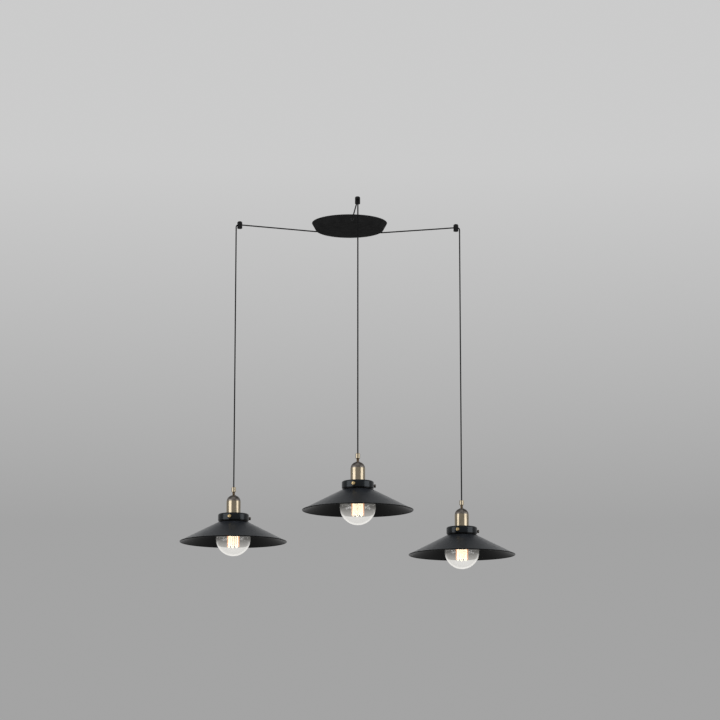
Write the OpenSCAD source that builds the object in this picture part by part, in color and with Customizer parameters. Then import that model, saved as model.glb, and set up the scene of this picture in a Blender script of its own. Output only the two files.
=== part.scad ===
// Pendant light with three lamps on one ceiling canopy. Each cord runs from the side of the
// canopy through a small ceiling hook and hangs straight down to a lampholder, a shade and a bulb.
// The origin is the centre of the canopy on the ceiling, +Z points up and sizes are millimetres.

/* [Ceiling canopy] */
// Diameter of the canopy's rim against the ceiling
canopy_d = 212; // [204:1:240]
// Diameter of the canopy at its flat underside
canopy_base_d = 190; // [180:1:198]
// Height of the canopy
canopy_h = 20; // [19:0.5:30]
// Sheet thickness of the canopy
canopy_wall = 1.2; // [0.8:0.1:1.6]
// Rounding of the canopy's lower edge
canopy_edge_r = 3; // [2:0.5:3.5]

/* [Cord outlets] */
// Depth of the cord outlets below the ceiling
outlet_depth = 13; // [12:0.5:13.5]
// Direction of the front outlet, in degrees from +X
outlet_turn = -85.6; // [-95:0.1:-75]
// Diameter of the bush sleeve in the canopy wall
bush_d = 6.4; // [5.6:0.1:7]
// Diameter of the bush flange
bush_flange_d = 9; // [7.6:0.2:9.4]
// Thickness of the bush flange
bush_flange_t = 1.2; // [0.8:0.1:1.6]
// Length of the bush sleeve inside the canopy wall
bush_tail = 7; // [5:0.5:9]
// Length of the bush sleeve outside the canopy wall
bush_nose = 2.5; // [2:0.5:3]

/* [Ceiling bracket] */
// Length of the bracket over its ears
bracket_l = 180; // [160:1:186]
// Width of the bracket strap
bracket_w = 24; // [18:1:32]
// Thickness of the bracket strap
bracket_t = 2; // [1.5:0.5:2.5]
// Height of the bracket ears
ear_h = 12; // [11:0.5:14]
// Diameter of the holes for the two ceiling screws
ceiling_hole_d = 5; // [4:0.5:6.5]
// Distance between the two ceiling screws
ceiling_hole_gap = 100; // [80:1:130]
// Diameter of the hole for the supply cable
supply_hole_d = 14; // [10:1:16]
// Diameter of the cover's grub screws
grub_d = 4; // [3:0.5:5]
// Length of the cover's grub screws
grub_l = 14; // [12:0.5:16]
// Depth of the cover's grub screws below the ceiling
grub_depth = 7; // [6:0.5:8]
// Diameter of the threaded bosses inside the canopy wall
boss_d = 9; // [8:0.5:10]

/* [Terminal block] */
// Length of the terminal block
block_l = 30; // [26:1:40]
// Width of the terminal block
block_w = 18; // [16:1:22]
// Height of the terminal block
block_h = 12; // [11:0.5:13]
// Diameter of the clamp screws in the terminal block
clamp_screw_d = 4; // [3:0.2:5]
// Height of the clamp screws in the terminal block
clamp_screw_h = 5; // [3:0.5:6]

/* [Ceiling hooks] */
// Diameter of a ceiling hook
hook_d = 14; // [12:0.5:16]
// Height of a ceiling hook
hook_h = 20.5; // [18:0.5:24]
// Rounding of the upper edge of a ceiling hook
hook_top_r = 4; // [2:0.5:4]
// Chamfer on the lower edge of a ceiling hook
hook_edge = 0.8; // [0.4:0.1:1.5]
// Diameter of the thread in the top of a hook
hook_thread_d = 4; // [3:0.5:5]
// Depth of the thread in the top of a hook
hook_thread_l = 6; // [4:0.5:6.5]
// Diameter of the clamp screw under a hook
hook_screw_d = 4; // [3:0.5:5]
// Distance of the left hook from the canopy along X
left_hook_x = -309; // [-340:1:-280]
// Distance of the left hook from the canopy along Y
left_hook_y = -22; // [-40:1:10]
// Direction of the cord through the left hook, in degrees from +X
left_hook_turn = 197.5; // [190:0.5:202]
// Distance of the front hook from the canopy along X
front_hook_x = 23; // [0:1:50]
// Distance of the front hook from the canopy along Y
front_hook_y = -303; // [-330:1:-270]
// Direction of the cord through the front hook, in degrees from +X
front_hook_turn = -85.8; // [-92:0.2:-80]
// Distance of the right hook from the canopy along X
right_hook_x = 301; // [280:1:330]
// Distance of the right hook from the canopy along Y
right_hook_y = 12; // [-10:1:40]
// Direction of the cord through the right hook, in degrees from +X
right_hook_turn = -12.5; // [-18:0.5:-4]

/* [Cords] */
// Diameter of the cords
cord_d = 3.6; // [3:0.1:3.8]
// Depth of the cord in the hooks below the ceiling
hook_cord_depth = 10; // [9.5:0.5:11]
// Radius of the bend in the mouth of a hook
bend_r = 7.4; // [7.2:0.2:10]
// Distance from a hook's centre to the start of the bend
bend_start = 3; // [3:0.5:5]
// Depth of the left cord grip's top below the ceiling
left_hang = 755; // [400:1:1500]
// Depth of the front cord grip's top below the ceiling
front_hang = 704; // [400:1:1500]
// Depth of the right cord grip's top below the ceiling
right_hang = 787; // [400:1:1500]
// Turn of the left lamp on its cord, in degrees
left_turn = 3.5; // [-60:0.5:60]
// Turn of the front lamp on its cord, in degrees
front_turn = 0; // [-60:0.5:60]
// Turn of the right lamp on its cord, in degrees
right_turn = -2.5; // [-60:0.5:60]

/* [Cord grip] */
// Diameter of the cord grip
grip_d = 12; // [10:0.5:14]
// Height of the cord grip
grip_h = 14; // [10:0.5:20]
// Diameter of the threaded stem under the grip
stem_d = 7; // [6:0.2:8]
// Length of the stem that shows above the cap
stem_show = 8.5; // [6:0.5:14]
// Length of the stem that screws into the cap
stem_screw = 7; // [5:0.5:8]

/* [Lampholder] */
// Diameter of the lampholder's domed cap
cap_d = 38; // [37:0.2:39]
// Height of the lampholder's domed cap
cap_h = 16.5; // [13:0.5:19]
// Wall of the lampholder's domed cap
cap_wall = 1.2; // [0.8:0.1:1.2]
// Diameter of the boss on top of the cap
cap_boss_d = 12; // [10.5:0.5:14]
// Diameter of the lampholder sleeve
sleeve_d = 39; // [38.6:0.1:40]
// Length of the lampholder sleeve above the shade holder
sleeve_h = 35.5; // [34:0.5:40]
// Wall of the lampholder sleeve
sleeve_wall = 1.5; // [1.2:0.1:1.6]
// Diameter of the threaded tail that passes through the shade holder
tail_d = 36; // [35.5:0.1:36.4]
// Length of the threaded tail below the top of the shade holder
tail_h = 12; // [10:0.5:13]
// Bore of the threaded tail
tail_bore = 33; // [32.8:0.1:33.6]
// Height of the seat for the ceramic core above the shade holder
seat_h = 4.5; // [3:0.5:6]
// Diameter of the pocket in the ceramic core
pocket_d = 28.6; // [28.4:0.1:29]

/* [Shade holder] */
// Diameter of the shade holder
holder_d = 85; // [80:0.5:92]
// Height of the shade holder
holder_h = 18.5; // [17.5:0.5:22]
// Sheet thickness of the shade holder
holder_wall = 1.2; // [0.8:0.1:1.5]
// Rounding of the shade holder's upper edge
holder_edge_r = 4; // [2:0.5:5]
// Diameter of the ring nut inside the shade holder
nut_d = 48; // [44:0.5:54]
// Height of the ring nut inside the shade holder
nut_h = 5; // [4:0.5:6]

/* [Thumb screws] */
// Diameter of a thumb screw's thread
thumb_d = 3; // [3:0.5:4.5]
// Diameter of a thumb screw's head
thumb_head_d = 9; // [7:0.5:11]
// Thickness of a thumb screw's head
thumb_head_t = 4; // [3:0.5:6]
// Length of thread that shows between the shade holder and a head
thumb_show = 2.5; // [2:0.5:5]
// Depth of the thumb screws below the top of the shade holder
thumb_drop = 11; // [9:0.5:12]
// Direction of the first thumb screw on its lamp, in degrees from +X
thumb_turn = -104; // [-150:0.5:-60]

/* [Shade] */
// Diameter of the shade's rim
shade_d = 295; // [240:1:340]
// Height of the shade's cone
shade_h = 55; // [45:0.5:75]
// Sheet thickness of the shade
shade_wall = 0.9; // [0.7:0.1:1.2]
// Length of collar that shows below the shade holder
collar_show = 4.5; // [4:0.5:10]
// Length of collar inside the shade holder
collar_in = 12; // [9:0.5:12]
// Rounding between the collar and the cone
collar_r = 4; // [2:0.5:6]
// Radius of the rolled bead on the rim
bead_r = 1.3; // [1:0.1:2]

/* [Bulb] */
// Diameter of the bulb's globe
bulb_d = 95; // [80:1:96]
// Length of the bulb from its contact to its lower end
bulb_l = 138; // [130:1:150]
// Thickness of the bulb's glass
glass_t = 1; // [0.8:0.1:1.2]
// Diameter of the bulb's neck
neck_d = 25; // [24.4:0.1:25.4]
// Radius of the curve between neck and globe
neck_r = 16; // [10:1:24]
// Depth of the bulb's contact below the cap
contact_depth = 14; // [12:0.5:15]
// Outer diameter of the screw thread on the bulb's cap
thread_d = 26.2; // [26:0.1:26.4]
// Depth of the screw thread
thread_deep = 1.1; // [0.8:0.1:1.2]
// Pitch of the screw thread
thread_pitch = 3.6; // [3.4:0.1:3.8]
// Number of turns of the screw thread
thread_turns = 4.5; // [4:0.5:4.5]
// Height of the filament cage
cage_h = 46; // [36:1:52]
// Diameter of the filament cage
cage_d = 34; // [24:1:40]
// Number of strands in the filament cage
cage_strands = 18; // [8:2:20]
// Diameter of the filament wire
wire_d = 0.8; // [0.6:0.1:1]

/* [Clearances] */
// Radial clearance of a screw or a pin in its hole
screw_fit = 0.05; // [0.02:0.01:0.1]
// Radial clearance of the cord in a bore
cord_fit = 0.3; // [0.2:0.05:0.4]
// Gap between pieces that move against each other
move_gap = 0.3; // [0.2:0.05:0.4]
// Gap between the cord's bend and its drop, where the cord flexes
flex_gap = 0.8; // [0.6:0.05:0.9]

/* [Hidden] */
SIDES = ["left", "front", "right"];
SHARED_NODES = ["canopy_cover", "ceiling_bracket", "cover_screws", "terminal_block", "terminal_screws",
    "outlet_bushes", "cord_tails", "ceiling_hooks", "hook_screws"];
LAMP_NODES = ["cord_span", "cord_bend", "cord_drop", "cord_grip", "holder_cap", "holder_sleeve",
    "ceramic_core", "socket_contacts", "shade_holder", "ring_nut", "thumb_screw_1", "thumb_screw_2",
    "thumb_screw_3", "shade", "bulb_glass", "bulb_cap", "filament"];

$fn = 96;
UP = [0, 0, 1];
CORD_SIDES = 8;
WIRE_SIDES = 6;
GROOVE_SIDES = 16;
SHADE_SIDES = 180;
ARC_STEP = 15;

// Steps in a small rounding, the shade's bead, the bulb's neck and the bulb's globe
ROUND_STEPS = 6;
BEAD_STEPS = 14;
NECK_STEPS = 8;
GLOBE_STEPS = 24;

// A direction whose sideways share is smaller than this counts as upright
UPRIGHT = 0.1;

// How far a cut runs past a face, the depth of a screwdriver slot and its width as a share of the screw's
CUT = 1;
SLOT_DEEP = 1;
SLOT_WIDE = 0.2;

// Angle between the canopy's outlets, and between the thumb screws of a lamp
THIRD = 120;

// Places of the hooks, the outlets and the lamps, in the order of SIDES
HOOK = [[left_hook_x, left_hook_y], [front_hook_x, front_hook_y], [right_hook_x, right_hook_y]];
HOOK_TURN = [left_hook_turn, front_hook_turn, right_hook_turn];
HANG = [left_hang, front_hang, right_hang];
LAMP_TURN = [left_turn, front_turn, right_turn];
OUTLET_TURN = [outlet_turn + 2 * THIRD, outlet_turn, outlet_turn + THIRD];

// Route of each cord from its outlet to the clamp in its hook
SPAN = [
    [[-88, 42.2, -13], [-92, 44.1, -13], [-95.7, 45.1, -13], [-99.6, 44.2, -13], [-104, 42.6, -13],
     [-130, 34.4, -12.6], [-160, 25, -12.1], [-200, 12.3, -11.5], [-240, -0.3, -10.9],
     [-280, -12.9, -10.3], [-300, -19.2, -10], [-311.2, -22.7, -10]],
    [[7.5, -97.4, -13], [7.8, -101.6, -13], [8.2, -106, -13], [10, -130, -12.6], [12.3, -160, -12.1],
     [15.3, -200, -11.5], [18.3, -240, -10.8], [20.5, -270, -10.3], [22, -290, -10],
     [23.2, -305.3, -10]],
    [[80.5, 55.1, -13], [84.2, 57.6, -13], [87.8, 59.1, -13], [91.8, 58.9, -13], [96.4, 57.8, -13],
     [120, 52.5, -12.7], [140, 48, -12.4], [180, 39.1, -11.8], [220, 30.1, -11.2], [260, 21.2, -10.6],
     [290, 14.5, -10], [303.2, 11.5, -10]]];

// Route of each cord inside the canopy, from the terminal block to its bush
TAIL = [
    [[-15.3, 3, -8], [-22, 3, -8], [-34, 10, -10], [-48, 20, -12], [-62, 29.6, -13], [-74, 35.4, -13],
     [-87.4, 41.8, -13]],
    [[4, -9.3, -8], [4, -16, -8], [4.4, -30, -10], [5, -48, -12], [5.8, -66, -13], [6.6, -86, -13],
     [7.4, -96.7, -13]],
    [[15.3, 3, -8], [22, 3, -8], [32, 12, -10], [44, 26, -12], [56, 37.2, -13], [68, 46.4, -13],
     [80, 54.8, -13]]];

// Slope of the canopy's side, from the vertical, and places on that side
SIDE_SLOPE = atan((canopy_d - canopy_base_d) / 2 / canopy_h);
OUTLET_R = canopy_d / 2 - outlet_depth * tan(SIDE_SLOPE);
SHEET_R = canopy_wall / cos(SIDE_SLOPE);
EDGE_X = canopy_base_d / 2 - canopy_edge_r * cos(SIDE_SLOPE)
    + canopy_edge_r * (1 - sin(SIDE_SLOPE)) * tan(SIDE_SLOPE);
BUSH_NUT_T = 3;
BUSH_LIFT = 0.15;
MOUTH_IN = 1;
MOUTH_WIDE = 2.6;

// Levels of a lamp, measured down from the top of its cord grip
Z_CAP = -grip_h - stem_show;
Z_SLEEVE = Z_CAP - cap_h;
Z_HOLDER = Z_SLEEVE - sleeve_h;
Z_HOLDER_END = Z_HOLDER - holder_h;
Z_SHADE = Z_HOLDER_END - collar_show;
Z_RIM = Z_SHADE - shade_h;
Z_SEAT = Z_HOLDER + seat_h;
Z_TAIL = Z_HOLDER - tail_h;
Z_CONTACT = Z_SLEEVE - contact_depth;
Z_BULB = Z_CONTACT - bulb_l + bulb_d / 2;

// Edges of the cord grip and the sleeve
GRIP_EDGE = 1;
SLEEVE_EDGE = 0.4;

// Inside of the lampholder
CAP_BOSS_OVER = 1;
CAP_BOSS_H = stem_screw + CAP_BOSS_OVER;
SPIGOT_H = 5;
SPIGOT_WALL = 1.4;
CORE_LIP = 2.5;
CONTACT_T = 0.8;
DIMPLE = 0.4;
SHELL_WALL = 0.5;
SHELL_OVER = 6.5;
STRIP_W = 6;
WIRE_HOLE_D = 3;

// Parts of the bulb's screw cap, measured down from its contact
BUTTON_D = 9;
BUTTON_H = 1.5;
THREAD_START = 5;
THREAD_END = THREAD_START + thread_turns * thread_pitch;
CAP_LENGTH = 27;
CAP_WALL = 1.2;
CAP_ROOF = 3;
SKIRT_STEP = 1;
WAVE_STEPS = 10;

// Curve between the bulb's neck and globe, and the stem inside
NECK_X = neck_d / 2 + neck_r;
NECK_Z = Z_BULB + sqrt(pow(bulb_d / 2 + neck_r, 2) - pow(NECK_X, 2));
NECK_TURN = atan2(NECK_Z - Z_BULB, NECK_X);
STEM_D = 8;
STEM_BORE = 1.6;
STEM_FLARE = 8;
STEM_OVER = 4;
STEM_END = Z_BULB + cage_h / 2 + STEM_OVER;
NECK_IN = 4;
NECK_STEP = 1;
LEAD_R = 2.8;

// Collar of the shade inside the shade holder, and the slope of the cone
COLLAR_R = holder_d / 2 - holder_wall - move_gap;
CONE_X = shade_d / 2 - bead_r - (COLLAR_R - shade_wall / 2);
CONE_Z = shade_h - bead_r;
CONE_SLOPE = atan(CONE_Z / CONE_X);
FILLET_R = collar_r + shade_wall / 2;
FILLET = [COLLAR_R + collar_r, Z_SHADE + FILLET_R * tan((90 - CONE_SLOPE) / 2)];

// Boss that each thumb screw runs in
THUMB_BOSS_D = thumb_d + 2;
THUMB_BOSS_H = 1;
THUMB_TIP = COLLAR_R + move_gap;
GROOVE_R = 0.5;
GROOVES = 14;
THUMB_EDGE = 0.6;

// Notches for a key in the ring nut
NOTCHES = 6;
NOTCH_W = 5;
NOTCH_DEEP = 2;

function unit(v) = v / norm(v);
function tangent(path, i) = unit(path[min(i + 1, len(path) - 1)] - path[max(i - 1, 0)]);
function across(t, spare) = norm(cross(t, UP)) > UPRIGHT ? unit(cross(t, UP)) : spare;
function arc(centre, r, from, to, steps) =
    [for (k = [0:steps]) centre + r * [cos(from + (to - from) * k / steps),
        sin(from + (to - from) * k / steps)]];

// Points and faces of a round tube along a path. The spare direction turns its upright rings.
function tube_points(path, d, sides, spare) = [for (i = [0:len(path) - 1])
    let (t = tangent(path, i), s = across(t, spare), u = cross(s, t))
    for (k = [0:sides - 1]) path[i] + d / 2 * (cos(360 * k / sides) * s + sin(360 * k / sides) * u)];
function tube_faces(rings, sides) = concat(
    [[for (k = [sides - 1:-1:0]) k]],
    [for (i = [0:rings - 2], k = [0:sides - 1]) let (a = i * sides + k, b = i * sides + (k + 1) % sides)
        each [[a, b, b + sides], [a, b + sides, a + sides]]],
    [[for (k = [0:sides - 1]) (rings - 1) * sides + k]]);

// Direction of a cord through its hook, and a point beyond the hook's centre on the cord
function hook_way(i) = [cos(HOOK_TURN[i]), sin(HOOK_TURN[i]), 0];
function beyond_hook(i, out, z) = [HOOK[i].x, HOOK[i].y, z] + out * hook_way(i);
function drop_axis(i) = beyond_hook(i, bend_start + bend_r, 0);

// Wave of the screw thread, drawn as rings around the cap
function thread_wave(extra) = [for (k = [0:thread_turns * WAVE_STEPS])
    [(thread_d - thread_deep) / 2 + extra - thread_deep / 2 * cos(360 * k / WAVE_STEPS),
        Z_CONTACT - THREAD_START - k * thread_pitch / WAVE_STEPS]];

module tube(path, d, sides, spare = [1, 0, 0])
    polyhedron(tube_points(path, d, sides, spare), tube_faces(len(path), sides));

module at_hook(i) translate([HOOK[i].x, HOOK[i].y, 0]) rotate([0, 0, HOOK_TURN[i]]) children();
module at_lamp(i)
    translate([drop_axis(i).x, drop_axis(i).y, -HANG[i]]) rotate([0, 0, LAMP_TURN[i]]) children();
module along_x(from, to, d) translate([from, 0, 0]) rotate([0, 90, 0]) cylinder(d = d, h = to - from);

// Solid outline of the canopy, or of the space inside it
module canopy_form(inset)
    rotate_extrude()
        polygon(concat(
            [[0, 0], [canopy_d / 2 - inset / cos(SIDE_SLOPE), 0]],
            arc([EDGE_X, -canopy_h + canopy_edge_r], canopy_edge_r - inset, -SIDE_SLOPE, -90, ROUND_STEPS),
            [[0, -canopy_h + inset]]));

module canopy_cover()
    color("#1d1d1f") difference() {
        union() {
            difference() {
                canopy_form(0);
                canopy_form(canopy_wall);
            }
            intersection() {
                canopy_form(0);
                for (side = [0, 180])
                    rotate([0, 0, side]) translate([0, 0, -grub_depth])
                        along_x(bracket_l / 2 + move_gap, canopy_d, boss_d);
            }
        }
        translate([0, 0, -grub_depth]) along_x(-canopy_d, canopy_d, grub_d + 2 * screw_fit);
        for (turn = OUTLET_TURN)
            rotate([0, 0, turn]) translate([0, 0, -outlet_depth])
                along_x(canopy_base_d / 4, canopy_d, bush_d + 2 * screw_fit);
    }

module ceiling_bracket()
    color("#b9bcc0") difference() {
        union() {
            translate([-bracket_l / 2, -bracket_w / 2, -bracket_t]) cube([bracket_l, bracket_w, bracket_t]);
            for (x = [-bracket_l / 2, bracket_l / 2 - bracket_t])
                translate([x, -bracket_w / 2, -ear_h]) cube([bracket_t, bracket_w, ear_h]);
        }
        for (x = [-1, 1] * ceiling_hole_gap / 2)
            translate([x, 0, -2 * bracket_t]) cylinder(d = ceiling_hole_d, h = 3 * bracket_t);
        translate([-(block_l + ceiling_hole_gap) / 4, 0, -2 * bracket_t])
            cylinder(d = supply_hole_d, h = 3 * bracket_t);
        translate([0, 0, -grub_depth]) along_x(-bracket_l, bracket_l, grub_d + 2 * screw_fit);
    }

// Two grub screws that reach into the bracket's ears, flush with the outside of the canopy
module cover_screws() {
    end = canopy_d / 2 - (grub_depth + grub_d / 2) * tan(SIDE_SLOPE);
    color("#2a2a2c") for (side = [0, 180])
        rotate([0, 0, side]) translate([0, 0, -grub_depth]) difference() {
            along_x(end - grub_l, end, grub_d);
            translate([end, 0, 0]) cube([2 * SLOT_DEEP, grub_d * 2, grub_d * SLOT_WIDE], center = true);
        }
}

// Places of the clamp screws in the terminal block, three poles with two screws each
CLAMP_GAP = [0.3 * block_l, 0.25 * block_w];
CLAMP_SINK = 1;
CLAMP_XY = [for (x = [-1, 0, 1], y = [-1, 1]) [x * CLAMP_GAP.x, y * CLAMP_GAP.y]];

module terminal_block()
    color("#e9e4d4") difference() {
        translate([-block_l / 2, -block_w / 2, -bracket_t - block_h]) cube([block_l, block_w, block_h]);
        for (p = CLAMP_XY)
            translate([p.x, p.y, -bracket_t - block_h - CUT])
                cylinder(d = clamp_screw_d + 2 * screw_fit, h = clamp_screw_h + CLAMP_SINK + CUT);
    }

module terminal_screws()
    color("#c9a24b") for (p = CLAMP_XY)
        translate([p.x, p.y, -bracket_t - block_h + CLAMP_SINK]) difference() {
            cylinder(d = clamp_screw_d, h = clamp_screw_h);
            cube([clamp_screw_d * 2, clamp_screw_d * SLOT_WIDE, 2 * SLOT_DEEP], center = true);
        }

// Bushes in the canopy's side, with a flange outside and a nut inside, both square to the sheet
module outlet_bushes()
    color("#161617") for (turn = OUTLET_TURN)
        rotate([0, 0, turn]) translate([0, 0, -outlet_depth]) difference() {
            union() {
                along_x(OUTLET_R - SHEET_R - bush_tail, OUTLET_R + bush_nose, bush_d);
                translate([OUTLET_R, 0, 0]) rotate([0, 90 + SIDE_SLOPE, 0])
                    translate([0, 0, screw_fit]) cylinder(d = bush_flange_d, h = bush_flange_t);
                translate([OUTLET_R - SHEET_R, 0, 0]) rotate([0, 90 + SIDE_SLOPE, 0])
                    translate([0, 0, -BUSH_NUT_T - BUSH_LIFT]) cylinder(d = bush_flange_d, h = BUSH_NUT_T);
            }
            along_x(0, canopy_d, cord_d + 2 * cord_fit);
        }

module cord_tails()
    color("#18181a") for (path = TAIL) tube(path, cord_d, CORD_SIDES);

// Hooks with a thread for the ceiling stud, a cross hole for the cord and a trumpet mouth
module ceiling_hooks()
    color("#131314") for (i = [0:2])
        at_hook(i) difference() {
            rotate_extrude()
                polygon(concat(
                    [[0, 0]],
                    arc([hook_d / 2 - hook_top_r, -hook_top_r], hook_top_r, 90, 0, ROUND_STEPS),
                    [[hook_d / 2, -hook_h + hook_edge], [hook_d / 2 - hook_edge, -hook_h], [0, -hook_h]]));
            translate([0, 0, -hook_thread_l]) cylinder(d = hook_thread_d, h = hook_thread_l + CUT);
            translate([0, 0, -hook_cord_depth]) along_x(-hook_d, hook_d, cord_d + 2 * cord_fit);
            translate([bend_start - MOUTH_IN, 0, -hook_cord_depth]) rotate([0, 90, 0])
                cylinder(d1 = cord_d + 2 * cord_fit, d2 = cord_d * MOUTH_WIDE, h = hook_d / 2);
            translate([0, 0, -hook_h - CUT])
                cylinder(d = hook_screw_d + 2 * screw_fit, h = hook_h - hook_cord_depth + CUT);
        }

module hook_screws()
    color("#6d6f72") for (i = [0:2])
        at_hook(i) translate([0, 0, -hook_h + hook_edge]) difference() {
            cylinder(d = hook_screw_d, h = hook_h - hook_edge - hook_cord_depth - cord_d / 2 - screw_fit);
            cube([hook_screw_d * 2, hook_screw_d * SLOT_WIDE, 2 * SLOT_DEEP], center = true);
        }

module cord_span(i)
    color("#18181a") tube(SPAN[i], cord_d, CORD_SIDES);

// Quarter bend in the mouth of a hook, which turns with the lamp
module cord_bend(i)
    color("#18181a") tube(
        [for (a = [0:ARC_STEP:90])
            beyond_hook(i, bend_start + bend_r * sin(a), -hook_cord_depth - bend_r * (1 - cos(a)))],
        cord_d, CORD_SIDES, [sin(HOOK_TURN[i]), -cos(HOOK_TURN[i]), 0]);

// Straight drop from the bend to the stem inside the lampholder's cap
DROP_RUNS = 2;
function drop_z(i, k) =
    let (top = -hook_cord_depth - bend_r - flex_gap, end = -HANG[i] - grip_h - stem_show)
    top + (end - top) * k / DROP_RUNS;

module cord_drop(i)
    color("#18181a") tube(
        [for (k = [0:DROP_RUNS]) [drop_axis(i).x, drop_axis(i).y, drop_z(i, k)]],
        cord_d, CORD_SIDES);

module cord_grip(i)
    color("#b08a4e") at_lamp(i) rotate_extrude()
        polygon([[cord_d / 2 + cord_fit, 0], [grip_d / 2 - GRIP_EDGE, 0], [grip_d / 2, -GRIP_EDGE],
            [grip_d / 2, -grip_h + GRIP_EDGE], [grip_d / 2 - GRIP_EDGE, -grip_h], [stem_d / 2, -grip_h],
            [stem_d / 2, Z_CAP - stem_screw], [cord_d / 2 + cord_fit, Z_CAP - stem_screw]]);

// Domed cap with a threaded boss on top and a spigot in the sleeve
module holder_cap(i) {
    boss_r = cap_boss_d / 2;
    inner = [cap_d / 2 - cap_wall, cap_h - cap_wall];
    outer_end = acos(boss_r / (cap_d / 2));
    inner_end = acos(boss_r / inner.x);
    spigot_r = sleeve_d / 2 - sleeve_wall - screw_fit;
    dome_steps = 10;
    color("#8f7d5f") at_lamp(i) rotate_extrude()
        polygon(concat(
            [[spigot_r - SPIGOT_WALL, Z_SLEEVE - SPIGOT_H], [spigot_r, Z_SLEEVE - SPIGOT_H],
                [spigot_r, Z_SLEEVE]],
            [for (k = [0:dome_steps]) let (a = outer_end * k / dome_steps)
                [cap_d / 2 * cos(a), Z_SLEEVE + cap_h * sin(a)]],
            [[boss_r, Z_CAP], [stem_d / 2 + screw_fit, Z_CAP],
                [stem_d / 2 + screw_fit, Z_CAP - CAP_BOSS_H], [boss_r, Z_CAP - CAP_BOSS_H]],
            [for (k = [dome_steps:-1:1]) let (a = inner_end * k / dome_steps)
                [inner.x * cos(a), Z_SLEEVE + inner.y * sin(a)]],
            [[spigot_r - SPIGOT_WALL, Z_SLEEVE + inner.y * sin(inner_end / dome_steps)]]));
}

// Brass sleeve with a threaded tail, which carries the shade holder
module holder_sleeve(i)
    color("#a9813f") at_lamp(i) rotate_extrude()
        polygon([[sleeve_d / 2 - sleeve_wall, Z_SLEEVE], [sleeve_d / 2 - SLEEVE_EDGE, Z_SLEEVE],
            [sleeve_d / 2, Z_SLEEVE - SLEEVE_EDGE], [sleeve_d / 2, Z_HOLDER], [tail_d / 2, Z_HOLDER],
            [tail_d / 2, Z_TAIL], [tail_bore / 2, Z_TAIL], [tail_bore / 2, Z_SEAT],
            [sleeve_d / 2 - sleeve_wall, Z_SEAT]]);

// Ceramic core on the sleeve's seat, with a pocket for the thread shell
module ceramic_core(i) {
    top = Z_SLEEVE - SPIGOT_H - move_gap;
    roof = Z_CONTACT + move_gap + DIMPLE + CONTACT_T;
    color("#efece4") at_lamp(i) difference() {
        rotate_extrude()
            polygon([[0, top], [sleeve_d / 2 - sleeve_wall - move_gap, top],
                [sleeve_d / 2 - sleeve_wall - move_gap, Z_SEAT], [tail_bore / 2 - move_gap, Z_SEAT],
                [tail_bore / 2 - move_gap, Z_TAIL + CORE_LIP], [pocket_d / 2, Z_TAIL + CORE_LIP],
                [pocket_d / 2, roof], [0, roof]]);
        for (x = [-1, 1] * pocket_d / 4)
            translate([x, 0, roof - CUT]) cylinder(d = WIRE_HOLE_D, h = top - roof + 2 * CUT);
    }
}

// Thread shell and centre contact, two separate pieces in the ceramic core
module socket_contacts(i) {
    end = Z_CONTACT - THREAD_END - SHELL_OVER;
    inner_r = thread_d / 2 + move_gap;
    inner = concat(thread_wave(move_gap), [[inner_r, Z_CONTACT - THREAD_END - SKIRT_STEP], [inner_r, end]]);
    outer = concat(thread_wave(move_gap + SHELL_WALL),
        [[inner_r + SHELL_WALL, Z_CONTACT - THREAD_END - SKIRT_STEP], [inner_r + SHELL_WALL, end]]);
    strip = Z_CONTACT + move_gap + DIMPLE;
    color("#c8a85a") at_lamp(i) {
        rotate_extrude() polygon(concat(inner, [for (k = [len(outer) - 1:-1:0]) outer[k]]));
        translate([-pocket_d / 4, -STRIP_W / 2, strip]) cube([pocket_d / 2, STRIP_W, CONTACT_T]);
        translate([0, 0, strip - DIMPLE]) cylinder(d = STRIP_W, h = DIMPLE + CONTACT_T / 2);
    }
}

// Black cup that hangs on the lampholder and takes the shade's collar
module shade_holder(i) {
    r = holder_d / 2;
    hole_r = tail_d / 2 + screw_fit;
    corner = [r - holder_edge_r, Z_HOLDER - holder_edge_r];
    color("#151516") at_lamp(i) difference() {
        union() {
            rotate_extrude()
                polygon(concat(
                    [[hole_r, Z_HOLDER]],
                    arc(corner, holder_edge_r, 90, 0, ROUND_STEPS),
                    [[r, Z_HOLDER_END], [r - holder_wall, Z_HOLDER_END]],
                    arc(corner, holder_edge_r - holder_wall, 0, 90, ROUND_STEPS),
                    [[hole_r, Z_HOLDER - holder_wall]]));
            for (k = [0:2])
                rotate([0, 0, thumb_turn + THIRD * k]) translate([0, 0, Z_HOLDER - thumb_drop])
                    along_x(r - holder_wall / 2, r + THUMB_BOSS_H, THUMB_BOSS_D);
        }
        for (k = [0:2])
            rotate([0, 0, thumb_turn + THIRD * k]) translate([0, 0, Z_HOLDER - thumb_drop])
                along_x(r / 2, r * 2, thumb_d + 2 * screw_fit);
    }
}

// Ring nut on the lampholder's tail, with notches for a key
module ring_nut(i)
    color("#8b8d90") at_lamp(i) translate([0, 0, Z_HOLDER - holder_wall - nut_h]) difference() {
        cylinder(d = nut_d, h = nut_h);
        translate([0, 0, -CUT]) cylinder(d = tail_d + 2 * screw_fit, h = nut_h + 2 * CUT);
        for (k = [0:NOTCHES - 1])
            rotate([0, 0, k * 360 / NOTCHES]) translate([nut_d / 2, 0, 0])
                cube([2 * NOTCH_DEEP, NOTCH_W, nut_h], center = true);
    }

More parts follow.
